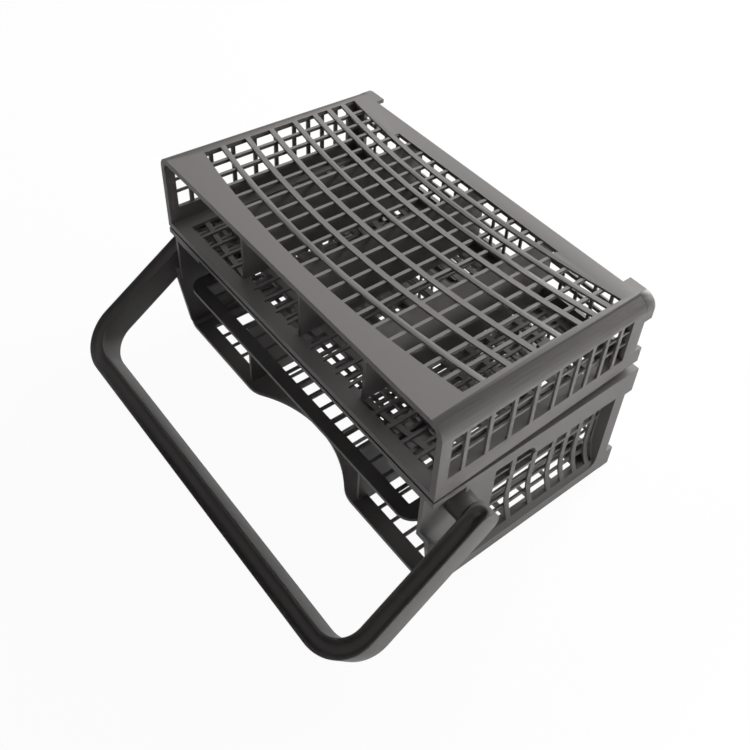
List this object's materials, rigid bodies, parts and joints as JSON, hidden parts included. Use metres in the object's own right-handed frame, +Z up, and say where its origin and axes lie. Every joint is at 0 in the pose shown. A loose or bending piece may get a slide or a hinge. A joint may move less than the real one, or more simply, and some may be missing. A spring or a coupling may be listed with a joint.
{
  "type": "dishwasher cutlery basket",
  "caption": "Moulded plastic cutlery basket for a dishwasher, lying on its side: two lattice-walled halves joined along a seam, with a swinging bail handle.",
  "frame": {"origin": "middle of the handle half's underside, on which the basket lies", "axes": "+X along the basket's length, -Y out of the open mouth, +Z up from the surface it lies on"},
  "size_m": [0.2688, 0.2049, 0.1355],
  "materials": {
    "grey_plastic": "satin"
  },
  "bodies": {
    "handle_half": {"handle_basket": "grey_plastic"},
    "slim_half": {"slim_basket": "grey_plastic"},
    "handle": {"bail_handle": "grey_plastic"}
  },
  "joints": [
    {"name": "handle_swing", "type": "hinge", "parent": "handle_half", "child": "handle", "pos_m": [0, -0.0485, 0.063], "axis": [-1, 0, 0], "range_deg": [0, 150]},
    {"name": "slim_half_slide", "type": "slide", "parent": "handle_half", "child": "slim_half", "axis": [1, 0, 0], "range_m": [0, 0.0036]}
  ]
}
